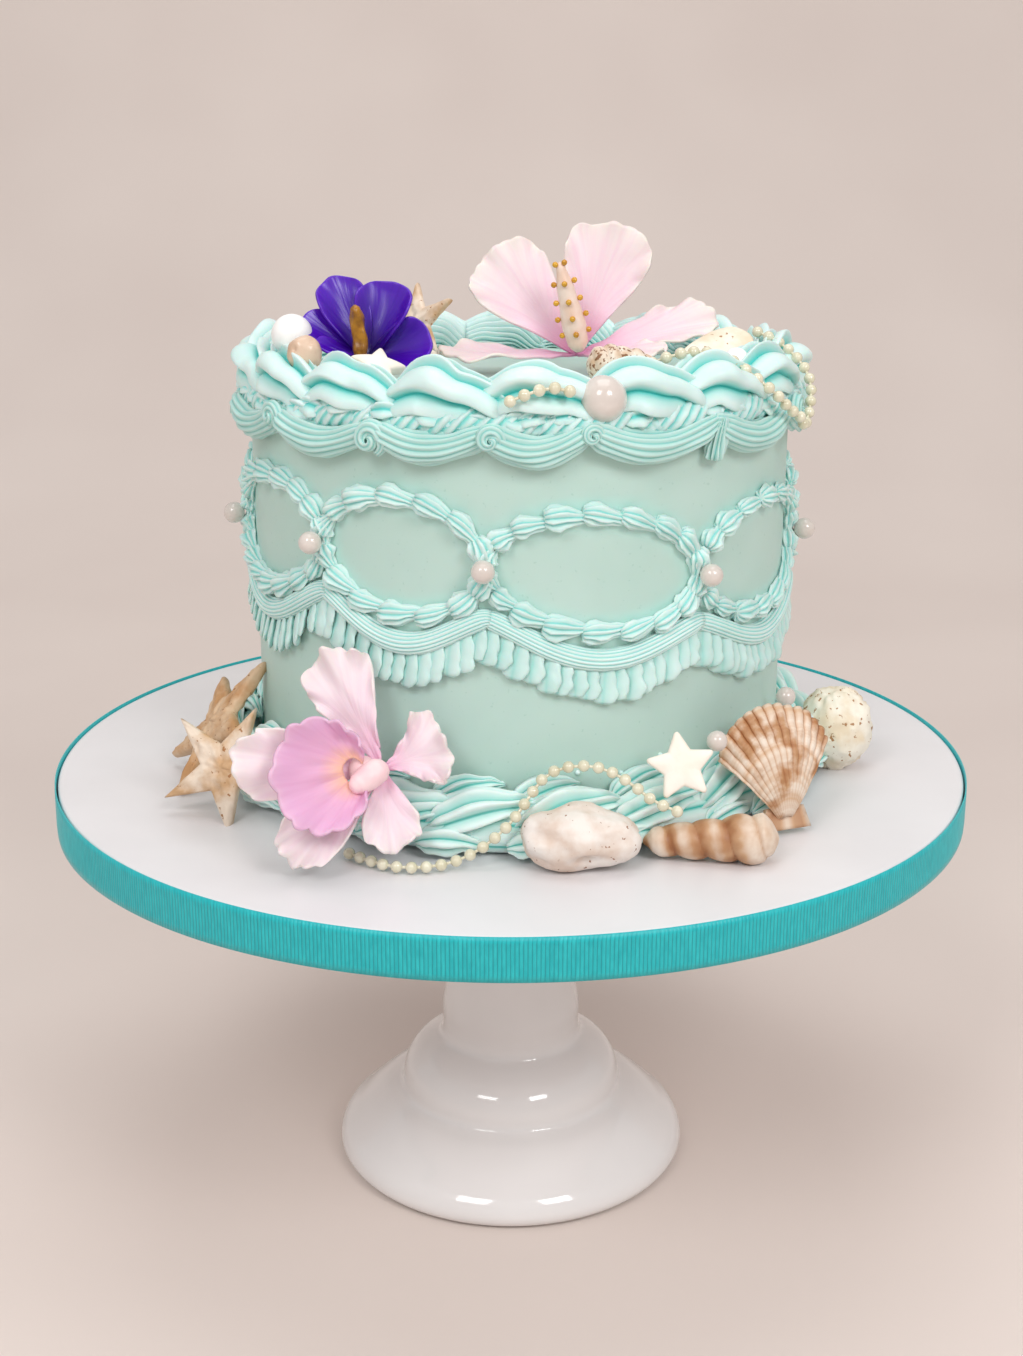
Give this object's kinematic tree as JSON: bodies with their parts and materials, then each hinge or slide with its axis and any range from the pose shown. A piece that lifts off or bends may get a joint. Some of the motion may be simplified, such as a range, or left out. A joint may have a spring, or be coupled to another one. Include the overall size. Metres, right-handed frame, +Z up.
{
  "type": "lambeth cake on a pedestal stand",
  "caption": "Tall round piped cake on a board and pedestal stand, with ruffled swags, oval frames, sugar flowers, seashells, starfish and strings of pearls.",
  "frame": {"origin": "bottom centre of the stand's foot, on the surface that it stands on", "axes": "+Z up along the stand's axis, -Y towards the side with the orchid and the scallop, +X to the right seen from there"},
  "size_m": [0.358, 0.357, 0.382],
  "materials": {
    "glazed_white": "gloss",
    "board_white": "matte",
    "teal_ribbon": "ribbed weave",
    "sage_icing": "satin",
    "aqua_buttercream": "satin",
    "pearl_cream": "pearly gloss",
    "petal_pink": "satin",
    "lip_magenta": "satin",
    "petal_violet": "satin",
    "stamen_gold": "satin",
    "sugar_white": "matte",
    "tan_sugar": "matte"
  },
  "bodies": {
    "root": {"stand": "glazed_white", "board": "board_white", "board_ribbon": "teal_ribbon", "cake_body": "sage_icing", "top_border": "aqua_buttercream", "base_border": "aqua_buttercream", "oval_frames": "aqua_buttercream", "swag_bands": "aqua_buttercream", "wall_ruffle": "aqua_buttercream", "side_pearl_1": "pearl_cream", "side_pearl_2": "pearl_cream", "side_pearl_3": "pearl_cream", "side_pearl_4": "pearl_cream", "side_pearl_5": "pearl_cream", "side_pearl_6": "pearl_cream", "side_pearl_7": "pearl_cream", "side_pearl_8": "pearl_cream", "side_pearl_9": "pearl_cream", "big_pearl": "pearl_cream", "rim_pearl": "pearl_cream", "base_pearl_front": "pearl_cream", "base_pearl_right": "pearl_cream", "bead_string_front": "pearl_cream", "bead_string_right": "pearl_cream", "bead_string_base": "pearl_cream", "ball_pearl": "sugar_white", "hibiscus_petals": "petal_pink", "orchid_petals": "petal_pink", "orchid_column": "petal_pink", "hibiscus_pistil": "sugar_white", "orchid_lip": "lip_magenta", "violet_petals": "petal_violet", "violet_stamen": "stamen_gold", "flat_shell": "sugar_white", "melted_star": "sugar_white", "sugar_block": "sugar_white", "pebble_shell": "sugar_white", "round_shell": "sugar_white", "sugar_star": "sugar_white", "snail": "tan_sugar", "conch": "tan_sugar", "starfish_top": "tan_sugar", "scallop": "tan_sugar", "auger": "tan_sugar", "starfish_front": "tan_sugar", "starfish_back": "tan_sugar"}
  },
  "joints": []
}
